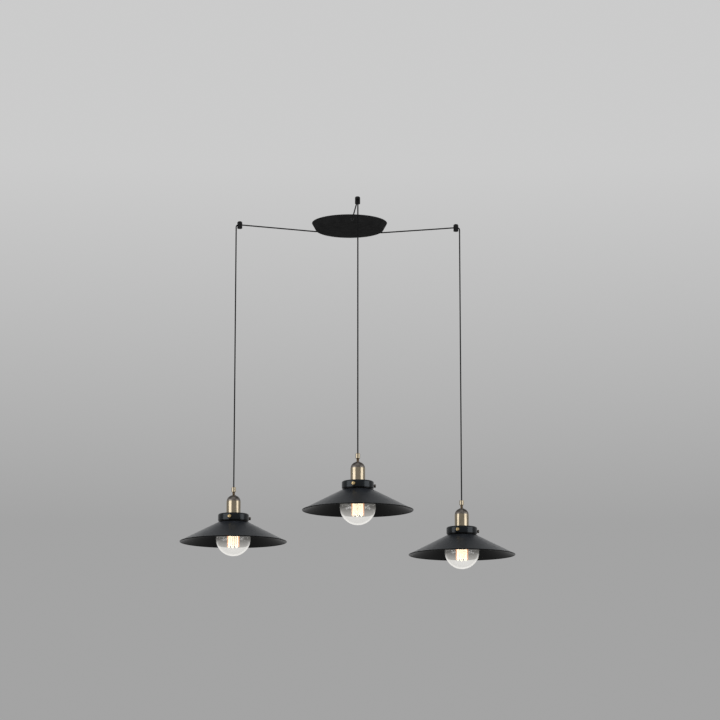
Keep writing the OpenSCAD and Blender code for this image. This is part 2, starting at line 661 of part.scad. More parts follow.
// Thumb screw with a grooved head, drawn along X and turned to its place
module thumb_screw(i, k)
    color("#ad8548") at_lamp(i) rotate([0, 0, thumb_turn + THIRD * k])
        translate([0, 0, Z_HOLDER - thumb_drop]) {
            head = holder_d / 2 + thumb_show;
            edge_r = thumb_head_d / 2 - THUMB_EDGE;
            along_x(THUMB_TIP, head + CUT, thumb_d);
            translate([head, 0, 0]) rotate([0, 90, 0]) difference() {
                rotate_extrude()
                    polygon([[0, 0], [edge_r, 0], [thumb_head_d / 2, THUMB_EDGE],
                        [thumb_head_d / 2, thumb_head_t - THUMB_EDGE], [edge_r, thumb_head_t],
                        [0, thumb_head_t]]);
                for (g = [0:GROOVES - 1])
                    rotate([0, 0, g * 360 / GROOVES]) translate([thumb_head_d / 2 + GROOVE_R / 3, 0, -CUT])
                        cylinder(r = GROOVE_R, h = thumb_head_t + 2 * CUT, $fn = GROOVE_SIDES);
            }
        }

// Spun metal shade: straight collar, flat cone and a rolled bead on the rim
module shade(i) {
    bead = [shade_d / 2 - bead_r, Z_RIM + bead_r];
    bead_half = asin(shade_wall / 2 / bead_r);
    fillet_end = 270 - CONE_SLOPE;
    collar_top = Z_HOLDER_END + collar_in;
    color("#202124") at_lamp(i) rotate_extrude($fn = SHADE_SIDES)
        polygon(concat(
            [[COLLAR_R, collar_top]],
            arc(FILLET, collar_r, 180, fillet_end, ROUND_STEPS),
            arc(bead, bead_r, 180 - CONE_SLOPE - bead_half, -180 - CONE_SLOPE + bead_half, BEAD_STEPS),
            arc(FILLET, collar_r + shade_wall, fillet_end, 180, ROUND_STEPS),
            [[COLLAR_R - shade_wall, collar_top]]));
}

// Clear globe with its neck, and the stem that is fused to it and carries the filament
module bulb_glass(i) {
    r = bulb_d / 2;
    centre = [0, Z_BULB];
    curve = [NECK_X, NECK_Z];
    top = Z_CONTACT - THREAD_END + NECK_IN;
    flare = Z_CONTACT - CAP_LENGTH;
    plug_r = neck_d / 2 - CAP_WALL;
    color("#f3efe2", 0.5) at_lamp(i) rotate_extrude()
        polygon(concat(
            [[STEM_BORE / 2, top], [plug_r, top], [plug_r, flare - NECK_STEP / 2],
                [neck_d / 2, flare - NECK_STEP * 1.5]],
            arc(curve, neck_r, 180, 180 + NECK_TURN, NECK_STEPS),
            arc(centre, r, NECK_TURN, -90, GLOBE_STEPS),
            arc(centre, r - glass_t, -90, NECK_TURN, GLOBE_STEPS),
            arc(curve, neck_r + glass_t, 180 + NECK_TURN, 180, NECK_STEPS),
            [[neck_d / 2 - glass_t, flare - NECK_STEP * 2], [STEM_D / 2, flare - STEM_FLARE],
                [STEM_D / 2, STEM_END], [STEM_BORE / 2, STEM_END]]));
}

// Screw cap of the bulb: contact button, insulator, thread and skirt
module bulb_cap(i) {
    start = Z_CONTACT - THREAD_START;
    end = Z_CONTACT - CAP_LENGTH;
    bore_r = neck_d / 2 - CAP_WALL + screw_fit;
    color("#c4a76a") at_lamp(i) rotate_extrude()
        polygon(concat(
            [[0, Z_CONTACT], [BUTTON_D / 2, Z_CONTACT], [BUTTON_D / 2, Z_CONTACT - BUTTON_H]],
            thread_wave(0),
            [[thread_d / 2, Z_CONTACT - THREAD_END - SKIRT_STEP], [thread_d / 2, end], [bore_r, end],
                [bore_r, start - CAP_ROOF], [0, start - CAP_ROOF]]));
}

// One wire that runs from the stem, up and down around the cage, and back to the stem
CAGE_TOP = Z_BULB + cage_h / 2;
CAGE_END = Z_BULB - cage_h / 2;
HOOP = 2.5;

// Share of a step by which the cage is turned, so that its back strands show between its front ones
CAGE_PHASE = 0.25;
function cage_turn(k) = (k + CAGE_PHASE) * 360 / cage_strands;
function cage_point(k, z) = [cage_d / 2 * cos(cage_turn(k)), cage_d / 2 * sin(cage_turn(k)), z];
function stem_point(k) = [LEAD_R * cos(cage_turn(k)), LEAD_R * sin(cage_turn(k)), STEM_END - wire_d / 2];

module filament(i)
    color("#ffcf7a") at_lamp(i) tube(
        concat(
            [stem_point(0)],
            [for (k = [0:cage_strands - 1]) each k % 2 == 0
                ? [cage_point(k, CAGE_TOP - HOOP), cage_point(k, CAGE_END + HOOP),
                    cage_point(k + 0.5, CAGE_END)]
                : [cage_point(k, CAGE_END + HOOP), cage_point(k, CAGE_TOP - HOOP),
                    if (k < cage_strands - 1) cage_point(k + 0.5, CAGE_TOP)]],
            [stem_point(cage_strands - 1)]),
        wire_d, WIRE_SIDES);

canopy_cover();
ceiling_bracket();
cover_screws();
terminal_block();
terminal_screws();
outlet_bushes();
cord_tails();
ceiling_hooks();
hook_screws();
for (i = [0:2]) {
    cord_span(i);
    cord_bend(i);
    cord_drop(i);
    cord_grip(i);
    holder_cap(i);
    holder_sleeve(i);
    ceramic_core(i);
    socket_contacts(i);
    shade_holder(i);
    ring_nut(i);
    for (k = [0:2])
        thumb_screw(i, k);
    shade(i);
    bulb_glass(i);
    bulb_cap(i);
    filament(i);
}
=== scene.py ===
import math

import bmesh
import bpy
from mathutils import Matrix, Vector


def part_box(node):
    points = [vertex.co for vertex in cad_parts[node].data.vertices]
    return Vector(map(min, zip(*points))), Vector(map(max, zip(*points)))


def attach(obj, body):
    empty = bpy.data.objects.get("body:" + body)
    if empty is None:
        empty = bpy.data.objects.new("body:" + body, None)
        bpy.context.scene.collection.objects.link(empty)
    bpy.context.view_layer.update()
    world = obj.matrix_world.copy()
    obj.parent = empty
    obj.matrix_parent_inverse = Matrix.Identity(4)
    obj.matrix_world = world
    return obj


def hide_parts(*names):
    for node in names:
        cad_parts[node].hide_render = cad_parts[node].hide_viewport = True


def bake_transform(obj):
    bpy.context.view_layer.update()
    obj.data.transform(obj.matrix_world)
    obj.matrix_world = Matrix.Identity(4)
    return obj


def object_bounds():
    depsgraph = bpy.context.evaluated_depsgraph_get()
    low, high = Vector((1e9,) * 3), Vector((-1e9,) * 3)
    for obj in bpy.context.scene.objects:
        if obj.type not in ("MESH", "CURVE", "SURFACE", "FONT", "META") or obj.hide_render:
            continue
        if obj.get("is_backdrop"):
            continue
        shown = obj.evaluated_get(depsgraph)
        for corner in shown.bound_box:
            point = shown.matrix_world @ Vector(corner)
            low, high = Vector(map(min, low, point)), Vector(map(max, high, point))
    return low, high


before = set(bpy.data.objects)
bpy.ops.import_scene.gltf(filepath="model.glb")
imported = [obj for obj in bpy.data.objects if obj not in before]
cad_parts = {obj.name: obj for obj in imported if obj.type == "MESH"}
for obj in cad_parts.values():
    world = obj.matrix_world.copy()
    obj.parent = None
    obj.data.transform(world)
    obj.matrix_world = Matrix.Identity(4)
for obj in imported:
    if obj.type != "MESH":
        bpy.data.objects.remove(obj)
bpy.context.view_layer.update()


# Ceiling bracket: a strap of zinc plated steel with its two ends bent down into ears.
# It is punched for the ceiling screws and the supply cable, and the whole light hangs from it.
mottle_detail = 4.0
mottle_span = (0.3, 0.7)


def finish_named(name):
    """A new finish with its shader."""
    finish = bpy.data.materials.new(name)
    finish.use_nodes = True
    return finish, finish.node_tree.nodes["Principled BSDF"]


def mottle(finish, scale, stretch=(1, 1, 1)):
    """Soft blotches that stay with the piece. Their values lie mostly within the mottle span."""
    nodes, links = finish.node_tree.nodes, finish.node_tree.links
    place = nodes.new("ShaderNodeTexCoord")
    turn = nodes.new("ShaderNodeMapping")
    turn.inputs["Scale"].default_value = stretch
    noise = nodes.new("ShaderNodeTexNoise")
    noise.inputs["Scale"].default_value = scale
    noise.inputs["Detail"].default_value = mottle_detail
    links.new(place.outputs["Object"], turn.inputs["Vector"])
    links.new(turn.outputs["Vector"], noise.inputs["Vector"])
    return noise.outputs["Fac"]


def tint(finish, amount, dark, light, socket="Base Color", span=mottle_span):
    """Colour that goes from dark to light with an amount."""
    nodes, links = finish.node_tree.nodes, finish.node_tree.links
    ramp = nodes.new("ShaderNodeValToRGB")
    ramp.color_ramp.elements[0].position = span[0]
    ramp.color_ramp.elements[1].position = span[1]
    ramp.color_ramp.elements[0].color = (*dark, 1)
    ramp.color_ramp.elements[1].color = (*light, 1)
    links.new(amount, ramp.inputs["Fac"])
    links.new(ramp.outputs["Color"], nodes["Principled BSDF"].inputs[socket])


def sheen_between(finish, amount, smooth, rough):
    """Roughness that goes from smooth to rough with an amount."""
    nodes, links = finish.node_tree.nodes, finish.node_tree.links
    remap = nodes.new("ShaderNodeMapRange")
    remap.inputs["From Min"].default_value = mottle_span[0]
    remap.inputs["From Max"].default_value = mottle_span[1]
    remap.inputs["To Min"].default_value = smooth
    remap.inputs["To Max"].default_value = rough
    links.new(amount, remap.inputs["Value"])
    links.new(remap.outputs["Result"], nodes["Principled BSDF"].inputs["Roughness"])


def texture_height(finish, amount, depth):
    """Fine relief in the surface, up to a depth in metres."""
    nodes, links = finish.node_tree.nodes, finish.node_tree.links
    bump = nodes.new("ShaderNodeBump")
    bump.inputs["Distance"].default_value = depth
    bump.inputs["Strength"].default_value = 1.0
    links.new(amount, bump.inputs["Height"])
    links.new(bump.outputs["Normal"], nodes["Principled BSDF"].inputs["Normal"])


def dress(node, finish):
    """Gives a solid that stays in view its finish."""
    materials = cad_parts[node].data.materials
    materials.clear()
    materials.append(finish)


zinc_plate, zinc_shader = finish_named("zinc_plate")
zinc_shader.inputs["Metallic"].default_value = 1.0
tint(zinc_plate, mottle(zinc_plate, 90), (0.42, 0.43, 0.45), (0.60, 0.61, 0.63))
sheen_between(zinc_plate, mottle(zinc_plate, 220), 0.26, 0.44)
texture_height(zinc_plate, mottle(zinc_plate, 300, stretch=(0.05, 1, 1)), 0.00004)
dress("ceiling_bracket", zinc_plate)

# Terminal block: a moulded cream block under the strap, where the supply meets the lamp cords.
# Six brass clamp screws sit sunk in its wells.
cream_moulding, cream_shader = finish_named("cream_moulding")
cream_shader.inputs["Roughness"].default_value = 0.38
tint(cream_moulding, mottle(cream_moulding, 60), (0.74, 0.70, 0.58), (0.82, 0.79, 0.68))
texture_height(cream_moulding, mottle(cream_moulding, 1600), 0.00002)
dress("terminal_block", cream_moulding)

bare_brass, bare_brass_shader = finish_named("bare_brass")
bare_brass_shader.inputs["Metallic"].default_value = 1.0
tint(bare_brass, mottle(bare_brass, 140), (0.60, 0.43, 0.18), (0.78, 0.60, 0.29))
sheen_between(bare_brass, mottle(bare_brass, 500), 0.20, 0.36)
texture_height(bare_brass, mottle(bare_brass, 2200), 0.00001)
dress("terminal_screws", bare_brass)


# Canopy cover: a shallow pan of pressed steel with a tapered side and a rounded lower edge.
# It is powder coated matte black and is pinched to the bracket's ears by a grub screw on each side.
weld_gap = 1e-6
crease = math.radians(30)


class HalfSection:
    """A section drawn edge by edge beside the upright axis, and spun round it into a turned piece."""

    def __init__(self, radius, level):
        self.mesh = bmesh.new()
        self.first = self.mesh.verts.new((radius, 0, level))
        self.last = self.first

    def to(self, *points):
        for radius, level in points:
            grown = bmesh.ops.extrude_vert_indiv(self.mesh, verts=[self.last])
            self.last = grown["verts"][0]
            self.last.co = (radius, 0, level)
        return self

    def curve(self, centre, clockwise, steps, squash=1.0):
        known = set(self.mesh.verts)
        middle = (centre[0], 0, centre[1])
        swept = bmesh.ops.spin(self.mesh, geom=[self.last], cent=middle, axis=(0, 1, 0),
                               angle=math.radians(clockwise), steps=steps)
        self.last = [v for v in swept["geom_last"] if isinstance(v, bmesh.types.BMVert)][0]
        fresh = [v for v in self.mesh.verts if v not in known]
        bmesh.ops.scale(self.mesh, vec=(1, 1, squash), verts=fresh,
                        space=Matrix.Translation(-Vector(middle)))
        return self

    def close(self):
        self.mesh.edges.new((self.last, self.first))
        return self

    def spun(self, steps=96, place=Matrix.Identity(4)):
        bmesh.ops.spin(self.mesh, geom=self.mesh.verts[:] + self.mesh.edges[:], cent=(0, 0, 0),
                       axis=(0, 0, 1), angle=math.tau, steps=steps, use_merge=True)
        bmesh.ops.remove_doubles(self.mesh, verts=self.mesh.verts, dist=weld_gap)
        bmesh.ops.recalc_face_normals(self.mesh, faces=self.mesh.faces)
        self.mesh.transform(place)
        return self.mesh


def set_out(name, data):
    """Puts a mesh, curve, light or camera into the scene."""
    made = bpy.data.objects.new(name, data)
    bpy.context.scene.collection.objects.link(made)
    return made


def piece_from(name, mesh, finish, body):
    """A piece with its finish from a shaped mesh, carried by a body."""
    data = bpy.data.meshes.new(name)
    mesh.to_mesh(data)
    mesh.free()
    data.shade_smooth()
    data.set_sharp_from_angle(angle=crease)
    data.materials.append(finish)
    made = set_out(name, data)
    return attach(made, body)


def rod(radius, length, place, segments=48, far_radius=None):
    """A round cutter or filler that runs along its own Z from the place it is given."""
    mesh = bmesh.new()
    far = radius if far_radius is None else far_radius
    bmesh.ops.create_cone(mesh, cap_ends=True, segments=segments, radius1=radius, radius2=far,
                          depth=length)
    bmesh.ops.translate(mesh, vec=(0, 0, length / 2), verts=mesh.verts)
    mesh.transform(place)
    return mesh


def facing_out(base, turn, start, level, tip=0.0):
    """A place at a turn round the base's upright axis, whose own Z points away from that axis."""
    foot = base @ Matrix.Rotation(math.radians(turn), 4, "Z") @ Matrix.Translation((start, 0, level))
    return foot @ Matrix.Rotation(math.radians(90) + tip, 4, "Y")


def settled_mesh(made):
    """The mesh of an object once its modifiers or its curve's thickness are worked out."""
    bpy.context.view_layer.update()
    return bpy.data.meshes.new_from_object(made.evaluated_get(bpy.context.evaluated_depsgraph_get()))


def carve(made, tool, operation="DIFFERENCE"):
    """Cuts a tool's shape out of a piece, or welds it on."""
    data = bpy.data.meshes.new("carving_tool")
    tool.to_mesh(data)
    tool.free()
    cutter = set_out("carving_tool", data)
    change = made.modifiers.new("carve", "BOOLEAN")
    change.operation = operation
    change.solver = "EXACT"
    change.object = cutter
    result = settled_mesh(made)
    made.modifiers.clear()
    old, made.data = made.data, result
    result.name = made.name
    bpy.data.meshes.remove(old)
    bpy.data.objects.remove(cutter)
    bpy.data.meshes.remove(data)
    result.set_sharp_from_angle(angle=crease)


matte_coat, matte_coat_shader = finish_named("matte_coat")
matte_coat_shader.inputs["Specular IOR Level"].default_value = 0.006
tint(matte_coat, mottle(matte_coat, 45), (0.0145, 0.0145, 0.0148), (0.0205, 0.0205, 0.0208))
sheen_between(matte_coat, mottle(matte_coat, 130), 0.50, 0.66)
texture_height(matte_coat, mottle(matte_coat, 1500), 0.00005)

canopy_rim_r = 0.106
canopy_base_r = 0.095
canopy_h = 0.020
canopy_sheet = 0.0012
canopy_edge_r = 0.003
side_lean = math.degrees(math.atan((canopy_rim_r - canopy_base_r) / canopy_h))
edge_turn = 90 - side_lean
lean = math.radians(side_lean)
edge_centre = (
    canopy_base_r - canopy_edge_r * math.cos(lean)
    + canopy_edge_r * (1 - math.sin(lean)) * math.tan(lean),
    canopy_edge_r - canopy_h)
edge_start = (edge_centre[0] + canopy_edge_r * math.cos(lean),
              edge_centre[1] - canopy_edge_r * math.sin(lean))
sheet_r = canopy_sheet / math.cos(lean)

pan = HalfSection(0, -canopy_h + canopy_sheet)
pan.to((edge_centre[0], -canopy_h + canopy_sheet))
pan.curve(edge_centre, -edge_turn, steps=8)
pan.to((canopy_rim_r - sheet_r, 0), (canopy_rim_r, 0), edge_start)
pan.curve(edge_centre, edge_turn, steps=10)
pan.to((0, -canopy_h))
canopy = piece_from("canopy_pan", pan.spun(steps=160), matte_coat, "ceiling")

grub_level = -0.007
grub_hole_r = 0.00205
boss_r = 0.0045
boss_start = 0.0903
boss_end = 0.1005
for way in (0, 180):
    outwards = facing_out(Matrix.Identity(4), way, boss_start, grub_level)
    carve(canopy, rod(boss_r, boss_end - boss_start, outwards), "UNION")
    carve(canopy, rod(grub_hole_r, canopy_rim_r - boss_start, outwards))
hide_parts("canopy_cover")
dress("cover_screws", matte_coat)

# Outlet bushes: black moulded bushes in the canopy's side, one for each cord.
# A flange sits on the outside of the sheet and a nut clamps it from inside.
black_moulding, _ = finish_named("black_moulding")
tint(black_moulding, mottle(black_moulding, 200), (0.010, 0.010, 0.011), (0.016, 0.016, 0.017))
sheen_between(black_moulding, mottle(black_moulding, 700), 0.34, 0.48)
texture_height(black_moulding, mottle(black_moulding, 3000), 0.00001)

outlet_turns = {"left": 154.4, "front": -85.6, "right": 34.4}
outlet_level = -0.013
outlet_r = canopy_rim_r + outlet_level * math.tan(lean)
bush_r = 0.0032
bush_bore_r = 0.0021
bush_tail = 0.007
bush_nose = 0.0025
flange_r = 0.0045
flange_t = 0.0012
flange_gap = 0.00005
bush_nut_t = 0.003
bush_nut_gap = 0.00015
soft_edge = 0.0004


def ring(inner, outer, low, high, edge=soft_edge):
    """Section of a plain ring whose outer corners are eased."""
    section = HalfSection(inner, low)
    section.to((outer - edge, low), (outer, low + edge))
    section.to((outer, high - edge), (outer - edge, high), (inner, high))
    return section.close()


def take_in(whole, part):
    """Adds a loose part to the whole piece."""
    spare = bpy.data.meshes.new("loose_part")
    part.to_mesh(spare)
    part.free()
    whole.from_mesh(spare)
    bpy.data.meshes.remove(spare)


bushes = bmesh.new()
for turn in outlet_turns.values():
    along_cord = facing_out(Matrix.Identity(4), turn, outlet_r, outlet_level)
    off_sheet = facing_out(Matrix.Identity(4), turn, outlet_r, outlet_level, tip=lean)
    off_inside = off_sheet @ Matrix.Translation((0, 0, -canopy_sheet))
    barrel = ring(bush_bore_r, bush_r, -sheet_r - bush_tail, bush_nose)
    flange = ring(bush_r, flange_r, flange_gap, flange_t)
    nut = ring(bush_r, flange_r, -bush_nut_t - bush_nut_gap, -bush_nut_gap)
    take_in(bushes, barrel.spun(steps=48, place=along_cord))
    take_in(bushes, flange.spun(steps=48, place=off_sheet))
    take_in(bushes, nut.spun(steps=6, place=off_inside))
bush_set = piece_from("outlet_bush_set", bushes, black_moulding, "ceiling")
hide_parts("outlet_bushes")

# Ceiling hooks: small turned steel cylinders, each screwed onto a stud in the ceiling.
# A cross hole takes the cord, with a flared mouth where the cord turns down.
# A screw from below clamps the cord.
hooks = {
    "left": (Vector((-0.309, -0.022, 0)), 197.5),
    "front": (Vector((0.023, -0.303, 0)), -85.8),
    "right": (Vector((0.301, 0.012, 0)), -12.5)}
hook_r = 0.007
hook_h = 0.0205
hook_top_r = 0.004
hook_edge = 0.0008
hook_stud_r = 0.002
hook_stud_depth = 0.006
cord_level = -0.010
cross_hole_r = 0.0021
mouth_start = 0.002
mouth_r = 0.00468
clamp_hole_r = 0.00205
hole_sides = 32

for side, (foot, turn) in hooks.items():
    body = HalfSection(0, 0)
    body.to((hook_r - hook_top_r, 0)).curve((hook_r - hook_top_r, -hook_top_r), 90, steps=8)
    body.to((hook_r, -hook_h + hook_edge))
    body.curve((hook_r - hook_edge, -hook_h + hook_edge), 90, steps=5).to((0, -hook_h))
    place = Matrix.Translation(foot) @ Matrix.Rotation(math.radians(turn), 4, "Z")
    turned = body.spun(steps=64, place=place)
    hook = piece_from(f"{side}_hook", turned, matte_coat, "ceiling")
    through = facing_out(Matrix.Translation(foot), turn, 0, cord_level)
    behind = through @ Matrix.Translation((0, 0, -2 * hook_r))
    mouth = through @ Matrix.Translation((0, 0, mouth_start))
    stud = place @ Matrix.Translation((0, 0, -hook_stud_depth))
    clamp = place @ Matrix.Translation((0, 0, cord_level - hook_h))
    carve(hook, rod(cross_hole_r, 4 * hook_r, behind, hole_sides))
    carve(hook, rod(cross_hole_r, hook_r, mouth, hole_sides, far_radius=mouth_r))
    carve(hook, rod(hook_stud_r, hook_h, stud, hole_sides))
    carve(hook, rod(clamp_hole_r, hook_h, clamp, hole_sides))
    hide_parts("ceiling_hooks")
dress("hook_screws", zinc_plate)

# Cords: thin black flex in a smooth sheath. Each runs from the terminal block out of its bush, is
# stretched to its hook, turns down in the hook's mouth and hangs straight to its lamp.
# The routes are those of the solids.
cord_sheath, cord_sheath_shader = finish_named("cord_sheath")
cord_sheath_shader.inputs["Specular IOR Level"].default_value = 0.05
tint(cord_sheath, mottle(cord_sheath, 60), (0.004, 0.004, 0.0045), (0.008, 0.008, 0.0085))
sheen_between(cord_sheath, mottle(cord_sheath, 400), 0.50, 0.64)
texture_height(cord_sheath, mottle(cord_sheath, 900), 0.00003)

cord_d = 0.0036
sheath_fineness = 5
sheath_roundness = 3
spans = {
    "left": [
        (-0.0880, 0.0422, -0.0130), (-0.0920, 0.0441, -0.0130), (-0.0957, 0.0451, -0.0130),
        (-0.0996, 0.0442, -0.0130), (-0.1040, 0.0426, -0.0130), (-0.1300, 0.0344, -0.0126),
        (-0.1600, 0.0250, -0.0121), (-0.2000, 0.0123, -0.0115), (-0.2400, -0.0003, -0.0109),
        (-0.2800, -0.0129, -0.0103), (-0.3000, -0.0192, -0.0100), (-0.3112, -0.0227, -0.0100)],
    "front": [
        (0.0075, -0.0974, -0.0130), (0.0078, -0.1016, -0.0130), (0.0082, -0.1060, -0.0130),
        (0.0100, -0.1300, -0.0126), (0.0123, -0.1600, -0.0121), (0.0153, -0.2000, -0.0115),
        (0.0183, -0.2400, -0.0108), (0.0205, -0.2700, -0.0103), (0.0220, -0.2900, -0.0100),
        (0.0232, -0.3053, -0.0100)],
    "right": [
        (0.0805, 0.0551, -0.0130), (0.0842, 0.0576, -0.0130), (0.0878, 0.0591, -0.0130),
        (0.0918, 0.0589, -0.0130), (0.0964, 0.0578, -0.0130), (0.1200, 0.0525, -0.0127),
        (0.1400, 0.0480, -0.0124), (0.1800, 0.0391, -0.0118), (0.2200, 0.0301, -0.0112),
        (0.2600, 0.0212, -0.0106), (0.2900, 0.0145, -0.0100), (0.3032, 0.0115, -0.0100)]}
tails = {
    "left": [
        (-0.0153, 0.0030, -0.0080), (-0.0220, 0.0030, -0.0080), (-0.0340, 0.0100, -0.0100),
        (-0.0480, 0.0200, -0.0120), (-0.0620, 0.0296, -0.0130), (-0.0740, 0.0354, -0.0130),
        (-0.0874, 0.0418, -0.0130)],
    "front": [
        (0.0040, -0.0093, -0.0080), (0.0040, -0.0160, -0.0080), (0.0044, -0.0300, -0.0100),
        (0.0050, -0.0480, -0.0120), (0.0058, -0.0660, -0.0130), (0.0066, -0.0860, -0.0130),
        (0.0074, -0.0967, -0.0130)],
    "right": [
        (0.0153, 0.0030, -0.0080), (0.0220, 0.0030, -0.0080), (0.0320, 0.0120, -0.0100),
        (0.0440, 0.0260, -0.0120), (0.0560, 0.0372, -0.0130), (0.0680, 0.0464, -0.0130),
        (0.0800, 0.0548, -0.0130)]}
bend_start = 0.003
bend_r = 0.0074
bend_step = 15
flex_gap = 0.0008
flex_run = 0.040
flex_rings = 8
drop_runs = 10


def thickened(drawn, radius, roundness, finish):
    """A closed tube with its finish along a drawn line, which is cleared away."""
    line = drawn.data
    line.bevel_depth = radius
    line.bevel_resolution = roundness
    line.use_fill_caps = True
    tube = settled_mesh(drawn)
    bpy.data.objects.remove(drawn)
    bpy.data.curves.remove(line)
    tube.materials.clear()
    tube.materials.append(finish)
    return tube


def round_flex(name, route):
    """A smooth tube through the route's points, with the points of its own middle line."""
    line = bpy.data.curves.new(name, "CURVE")
    line.dimensions = "3D"
    line.resolution_u = sheath_fineness
    run = line.splines.new("BEZIER")
    run.bezier_points.add(len(route) - 1)
    for point, place in zip(run.bezier_points, route):
        point.co = place
        point.handle_left_type = "AUTO"
        point.handle_right_type = "AUTO"
    drawn = set_out(name + "_line", line)
    bpy.context.view_layer.update()
    middle = drawn.to_mesh()
    path = [tuple(v.co) for v in middle.vertices]
    drawn.to_mesh_clear()
    made = set_out(name, thickened(drawn, cord_d / 2, sheath_roundness, cord_sheath))
    return made, path


for side, (foot, turn) in hooks.items():
    tail, _ = round_flex(f"{side}_flex_tail", tails[side])
    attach(tail, "ceiling")
    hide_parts("cord_tails")

    span, span_path = round_flex(f"{side}_flex_span", spans[side])
    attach(span, "ceiling")
    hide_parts(f"{side}_cord_span")

    out = Vector((math.cos(math.radians(turn)), math.sin(math.radians(turn)), 0))
    bend = []
    for degrees in range(0, 91, bend_step):
        a = math.radians(degrees)
        reach, sink = bend_start + bend_r * math.sin(a), bend_r * (1 - math.cos(a))
        bend.append(foot + out * reach + Vector((0, 0, cord_level - sink)))
    corner = bend[-1]
    cord_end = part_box(f"{side}_cord_drop")[0].z
    flex = [corner + Vector((0, 0, -flex_gap / 2 - flex_run * k / flex_rings))
            for k in range(1, flex_rings + 1)]
    rest_of_drop = cord_end - flex[-1].z
    hanging = [flex[-1] + Vector((0, 0, rest_of_drop * k / drop_runs))
               for k in range(1, drop_runs + 1)]
    drop, drop_path = round_flex(f"{side}_flex_drop", bend + flex + hanging)
    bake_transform(drop)
    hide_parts(f"{side}_cord_bend", f"{side}_cord_drop")

# Cord grips: plain brass tubes that clamp the cord, each on a thin dark stem with a cut thread.
# The stem screws into the boss on the lampholder's cap and carries the whole lamp.
aged_brass, aged_brass_shader = finish_named("aged_brass")
aged_brass_shader.inputs["Metallic"].default_value = 1.0
tint(aged_brass, mottle(aged_brass, 70), (0.352, 0.300, 0.219), (0.417, 0.356, 0.260))
sheen_between(aged_brass, mottle(aged_brass, 160), 0.15, 0.21)
texture_height(aged_brass, mottle(aged_brass, 40, stretch=(1, 1, 60)), 0.0000015)

dark_steel, dark_steel_shader = finish_named("dark_steel")
dark_steel_shader.inputs["Metallic"].default_value = 1.0
tint(dark_steel, mottle(dark_steel, 200), (0.21, 0.155, 0.092), (0.34, 0.255, 0.160))
sheen_between(dark_steel, mottle(dark_steel, 400), 0.32, 0.46)

lamp_turns = {"left": 3.5, "front": 0, "right": -2.5}
lamps = {}
for side in hooks:
    low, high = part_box(f"{side}_holder_sleeve")
    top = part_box(f"{side}_cord_grip")[1].z
    lamps[side] = Matrix.Translation(((low.x + high.x) / 2, (low.y + high.y) / 2, top))
    lamps[side] = lamps[side] @ Matrix.Rotation(math.radians(lamp_turns[side]), 4, "Z")

cord_bore_r = 0.0021
grip_r = 0.006
grip_h = 0.014
grip_edge = 0.001
stem_r = 0.0035
stem_end = -0.0295
thread_step = 0.0008
thread_depth = 0.00025

for side, lamp in lamps.items():
    tube = ring(cord_bore_r, grip_r, -grip_h, 0, grip_edge).spun(steps=64, place=lamp)
    grip = piece_from(f"{side}_grip_tube", tube, aged_brass, f"{side}_lamp")
    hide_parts(f"{side}_cord_grip")
    cut = HalfSection(cord_bore_r, stem_end)
    level = stem_end
    while level < -grip_h - thread_step:
        cut.to((stem_r - thread_depth, level), (stem_r, level + thread_step / 2))
        level += thread_step
    cut.to((stem_r - thread_depth, -grip_h), (cord_bore_r, -grip_h)).close()
    thread = cut.spun(steps=48, place=lamp)
    piece_from(f"{side}_grip_stem", thread, dark_steel, f"{side}_lamp")

# Lampholder caps: domed caps pressed from brass and given a dull bronze finish.
# Each closes the upper end of its sleeve, and a short boss on its top takes the stem of the cord grip.
dull_bronze, dull_bronze_shader = finish_named("dull_bronze")
dull_bronze_shader.inputs["Metallic"].default_value = 1.0
tint(dull_bronze, mottle(dull_bronze, 80), (0.140, 0.125, 0.112), (0.220, 0.199, 0.180))
sheen_between(dull_bronze, mottle(dull_bronze, 180), 0.34, 0.50)
texture_height(dull_bronze, mottle(dull_bronze, 40, stretch=(1, 1, 50)), 0.000006)

cap_r = 0.019
cap_low = -0.039
cap_h = 0.0165
cap_boss_r = 0.006
cap_bore_r = 0.0036
dome_turn = math.degrees(math.acos(cap_boss_r / cap_r))

for side, lamp in lamps.items():
    dome = HalfSection(cap_bore_r, cap_low)
    dome.to((cap_r, cap_low))
    dome.curve((0, cap_low), -dome_turn, steps=16, squash=cap_h / cap_r)
    dome.to((cap_boss_r, cap_low + cap_h - soft_edge), (cap_boss_r - soft_edge, cap_low + cap_h))
    dome.to((cap_bore_r, cap_low + cap_h)).close()
    pressed = dome.spun(place=lamp)
    cap = piece_from(f"{side}_cap_dome", pressed, dull_bronze, f"{side}_lamp")
    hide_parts(f"{side}_holder_cap")

# Lampholder insides: a porcelain core with the brass thread shell and centre contact that take the bulb,
# and the zinc plated ring nut that clamps the shade holder. They show only from below.
porcelain, porcelain_shader = finish_named("porcelain")
porcelain_shader.inputs["Roughness"].default_value = 0.42
tint(porcelain, mottle(porcelain, 120), (0.78, 0.76, 0.70), (0.86, 0.84, 0.79))
texture_height(porcelain, mottle(porcelain, 900), 0.00004)
for side in lamps:
    dress(f"{side}_ceramic_core", porcelain)
    dress(f"{side}_socket_contacts", bare_brass)
    dress(f"{side}_ring_nut", zinc_plate)

# Lampholder sleeves: turned brass tubes with an aged, lacquered finish.
# The threaded tail of each passes through the shade holder.
sleeve_r = 0.0195
sleeve_inner_r = 0.018
sleeve_low = -0.0745
tail_r = 0.018
tail_low = -0.0865
tail_bore_r = 0.0165
seat_level = -0.070

